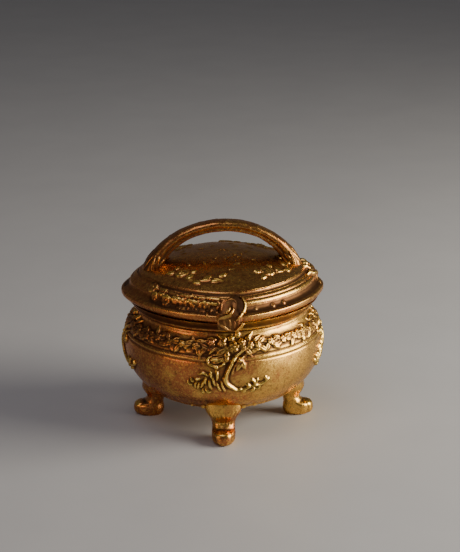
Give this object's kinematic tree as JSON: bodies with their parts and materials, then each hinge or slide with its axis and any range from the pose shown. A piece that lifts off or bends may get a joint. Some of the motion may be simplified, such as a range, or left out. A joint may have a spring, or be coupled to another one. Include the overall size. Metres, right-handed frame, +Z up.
{
  "type": "jewellery case",
  "caption": "Small pot-bellied cast metal jewellery case on scrolled feet, with a domed lift-off lid, an arched strap handle and a padded silk lining.",
  "frame": {"origin": "on the table, under the middle of the bowl and midway between the four feet", "axes": "+Z up, -Y towards the front foot and the lid's shell ornament, +X to the right"},
  "size_m": [0.111, 0.112, 0.1108],
  "materials": {
    "gilt_metal": "antique gilt over cast relief, brown in the hollows, worn bright on the high spots",
    "screw_brass": "plain turned brass",
    "lining_card": "grey-brown paper board",
    "lining_silk": "champagne silk satin over wadding"
  },
  "bodies": {
    "case": {"body_shell": "gilt_metal", "foot_front": "gilt_metal", "foot_left": "gilt_metal", "foot_back": "gilt_metal", "foot_right": "gilt_metal", "foot_screws": "screw_brass", "base_card": "lining_card", "side_card": "lining_card", "side_pad": "lining_silk", "base_pad": "lining_silk"},
    "lid": {"lid_shell": "gilt_metal", "handle": "gilt_metal", "lid_card": "lining_card", "lid_pad": "lining_silk"}
  },
  "joints": [
    {"name": "lid_lift", "type": "slide", "parent": "case", "child": "lid", "axis": [0, 0, 1], "range_m": [0, 0.09]}
  ]
}
